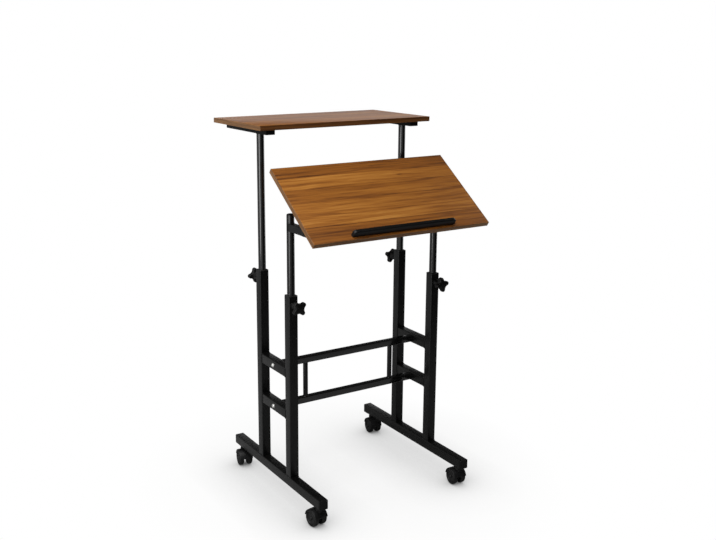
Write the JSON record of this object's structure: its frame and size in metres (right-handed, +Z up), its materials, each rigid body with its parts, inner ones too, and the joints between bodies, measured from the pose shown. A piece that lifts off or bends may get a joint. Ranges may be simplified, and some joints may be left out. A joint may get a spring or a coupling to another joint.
{
  "type": "mobile standing desk",
  "caption": "Rolling stand-up desk with telescopic square and round legs, a height-set upper shelf and a tilting desktop with a stop rail, clamped by star knobs.",
  "frame": {"origin": "on the floor, under the middle of the desk's outline", "axes": "+X to the user's right, +Y away from the user, +Z up"},
  "size_m": [0.6, 0.6209, 1.1397],
  "materials": {
    "black_powder_coat": "semi-gloss black powder coat",
    "black_cap_plastic": "moulded black",
    "black_bush_plastic": "moulded black",
    "black_knob_plastic": "moulded black, satin",
    "black_hood_plastic": "moulded black",
    "black_wheel_plastic": "moulded black, satin",
    "zinc_plated_steel": "bright zinc plating",
    "walnut_laminate": "walnut-look laminate, satin"
  },
  "bodies": {
    "base_frame": {"crossbar_lower": "black_powder_coat", "crossbar_upper": "black_powder_coat", "foot_cap_front_left": "black_cap_plastic", "foot_cap_front_right": "black_cap_plastic", "foot_cap_rear_left": "black_cap_plastic", "foot_cap_rear_right": "black_cap_plastic", "foot_tube_left": "black_powder_coat", "foot_tube_right": "black_powder_coat", "frame_bolt_lower_left": "zinc_plated_steel", "frame_bolt_lower_right": "zinc_plated_steel", "frame_bolt_upper_left": "zinc_plated_steel", "frame_bolt_upper_right": "zinc_plated_steel", "post_bush_front_left": "black_bush_plastic", "post_bush_front_right": "black_bush_plastic", "post_bush_rear_left": "black_bush_plastic", "post_bush_rear_right": "black_bush_plastic", "post_front_left": "black_powder_coat", "post_front_right": "black_powder_coat", "post_rear_left": "black_powder_coat", "post_rear_right": "black_powder_coat", "rung_lower_left": "black_powder_coat", "rung_lower_right": "black_powder_coat", "rung_upper_left": "black_powder_coat", "rung_upper_right": "black_powder_coat", "strut_left": "black_powder_coat", "strut_right": "black_powder_coat"},
    "shelf_stage": {"riser_tube_left": "black_powder_coat", "riser_tube_right": "black_powder_coat", "shelf_bar_left": "black_powder_coat", "shelf_bar_right": "black_powder_coat", "upper_shelf": "walnut_laminate"},
    "desk_stage": {"desk_arm_left": "black_powder_coat", "desk_arm_right": "black_powder_coat", "desk_tube_left": "black_powder_coat", "desk_tube_right": "black_powder_coat", "tube_cap_left": "black_cap_plastic", "tube_cap_right": "black_cap_plastic"},
    "desktop": {"desktop_board": "walnut_laminate", "stop_rail": "black_knob_plastic", "tilt_bracket_left": "black_powder_coat", "tilt_bracket_right": "black_powder_coat"},
    "caster_front_left": {"caster_hood_front_left": "black_hood_plastic"},
    "caster_front_right": {"caster_hood_front_right": "black_hood_plastic"},
    "caster_rear_left": {"caster_hood_rear_left": "black_hood_plastic"},
    "caster_rear_right": {"caster_hood_rear_right": "black_hood_plastic"},
    "caster_wheel_front_left_inner": {"caster_wheel_front_left_inner": "black_wheel_plastic"},
    "caster_wheel_front_left_outer": {"caster_wheel_front_left_outer": "black_wheel_plastic"},
    "caster_wheel_front_right_inner": {"caster_wheel_front_right_inner": "black_wheel_plastic"},
    "caster_wheel_front_right_outer": {"caster_wheel_front_right_outer": "black_wheel_plastic"},
    "caster_wheel_rear_left_inner": {"caster_wheel_rear_left_inner": "black_wheel_plastic"},
    "caster_wheel_rear_left_outer": {"caster_wheel_rear_left_outer": "black_wheel_plastic"},
    "caster_wheel_rear_right_inner": {"caster_wheel_rear_right_inner": "black_wheel_plastic"},
    "caster_wheel_rear_right_outer": {"caster_wheel_rear_right_outer": "black_wheel_plastic"},
    "height_knob_front_left": {"height_knob_front_left": "black_knob_plastic"},
    "height_knob_front_right": {"height_knob_front_right": "black_knob_plastic"},
    "height_knob_rear_left": {"height_knob_rear_left": "black_knob_plastic"},
    "height_knob_rear_right": {"height_knob_rear_right": "black_knob_plastic"},
    "tilt_knob_left": {"tilt_knob_left": "black_knob_plastic"},
    "tilt_knob_right": {"tilt_knob_right": "black_knob_plastic"}
  },
  "joints": [
    {"name": "shelf_height", "type": "slide", "parent": "base_frame", "child": "shelf_stage", "axis": [0, 0, 1], "range_m": [-0.28, 0.05]},
    {"name": "desk_height", "type": "slide", "parent": "base_frame", "child": "desk_stage", "axis": [0, 0, 1], "range_m": [-0.17, 0.1]},
    {"name": "desktop_tilt", "type": "hinge", "parent": "desk_stage", "child": "desktop", "pos_m": [0, -0.19854, 0.8587], "axis": [1, 0, 0], "range_deg": [-35.9, 39.1]},
    {"name": "height_knob_front_left_turn", "type": "hinge", "parent": "base_frame", "child": "height_knob_front_left", "pos_m": [-0.256, -0.14634, 0.629], "axis": [0, -1, 0], "range_deg": [0, 360]},
    {"name": "height_knob_front_right_turn", "type": "hinge", "parent": "base_frame", "child": "height_knob_front_right", "pos_m": [0.256, -0.14634, 0.629], "axis": [0, -1, 0], "range_deg": [0, 360]},
    {"name": "height_knob_rear_left_turn", "type": "hinge", "parent": "base_frame", "child": "height_knob_rear_left", "pos_m": [-0.256, 0.12926, 0.6675], "axis": [0, 1, 0], "range_deg": [0, 360]},
    {"name": "height_knob_rear_right_turn", "type": "hinge", "parent": "base_frame", "child": "height_knob_rear_right", "pos_m": [0.256, 0.12926, 0.6675], "axis": [0, 1, 0], "range_deg": [0, 360]},
    {"name": "tilt_knob_left_turn", "type": "hinge", "parent": "desk_stage", "child": "tilt_knob_left", "pos_m": [-0.2139, -0.19854, 0.8587], "axis": [1, 0, 0], "range_deg": [0, 360]},
    {"name": "tilt_knob_right_turn", "type": "hinge", "parent": "desk_stage", "child": "tilt_knob_right", "pos_m": [0.2139, -0.19854, 0.8587], "axis": [-1, 0, 0], "range_deg": [0, 360]},
    {"name": "caster_front_left_swivel", "type": "hinge", "parent": "base_frame", "child": "caster_front_left", "pos_m": [-0.256, -0.25354, 0], "axis": [0, 0, 1], "continuous": true},
    {"name": "caster_front_right_swivel", "type": "hinge", "parent": "base_frame", "child": "caster_front_right", "pos_m": [0.256, -0.25354, 0], "axis": [0, 0, 1], "continuous": true},
    {"name": "caster_rear_left_swivel", "type": "hinge", "parent": "base_frame", "child": "caster_rear_left", "pos_m": [-0.256, 0.23646, 0], "axis": [0, 0, 1], "continuous": true},
    {"name": "caster_rear_right_swivel", "type": "hinge", "parent": "base_frame", "child": "caster_rear_right", "pos_m": [0.256, 0.23646, 0], "axis": [0, 0, 1], "continuous": true},
    {"name": "caster_wheel_front_left_inner_roll", "type": "hinge", "parent": "caster_front_left", "child": "caster_wheel_front_left_inner", "pos_m": [-0.25119, -0.24097, 0.025], "axis": [0.9945, 0.1045, 0], "continuous": true},
    {"name": "caster_wheel_front_left_outer_roll", "type": "hinge", "parent": "caster_front_left", "child": "caster_wheel_front_left_outer", "pos_m": [-0.26332, -0.24224, 0.025], "axis": [0.9945, 0.1045, 0], "continuous": true},
    {"name": "caster_wheel_front_right_inner_roll", "type": "hinge", "parent": "caster_front_right", "child": "caster_wheel_front_right_inner", "pos_m": [0.25119, -0.24097, 0.025], "axis": [0.9945, -0.1045, 0], "continuous": true},
    {"name": "caster_wheel_front_right_outer_roll", "type": "hinge", "parent": "caster_front_right", "child": "caster_wheel_front_right_outer", "pos_m": [0.26332, -0.24224, 0.025], "axis": [0.9945, -0.1045, 0], "continuous": true},
    {"name": "caster_wheel_rear_left_inner_roll", "type": "hinge", "parent": "caster_rear_left", "child": "caster_wheel_rear_left_inner", "pos_m": [-0.2523, 0.22352, 0.025], "axis": [-0.9816, 0.1908, 0], "continuous": true},
    {"name": "caster_wheel_rear_left_outer_roll", "type": "hinge", "parent": "caster_rear_left", "child": "caster_wheel_rear_left_outer", "pos_m": [-0.26428, 0.22585, 0.025], "axis": [-0.9816, 0.1908, 0], "continuous": true},
    {"name": "caster_wheel_rear_right_inner_roll", "type": "hinge", "parent": "caster_rear_right", "child": "caster_wheel_rear_right_inner", "pos_m": [0.24829, 0.22543, 0.025], "axis": [-0.9903, 0.1392, 0], "continuous": true},
    {"name": "caster_wheel_rear_right_outer_roll", "type": "hinge", "parent": "caster_rear_right", "child": "caster_wheel_rear_right_outer", "pos_m": [0.26037, 0.22373, 0.025], "axis": [-0.9903, 0.1392, 0], "continuous": true}
  ]
}
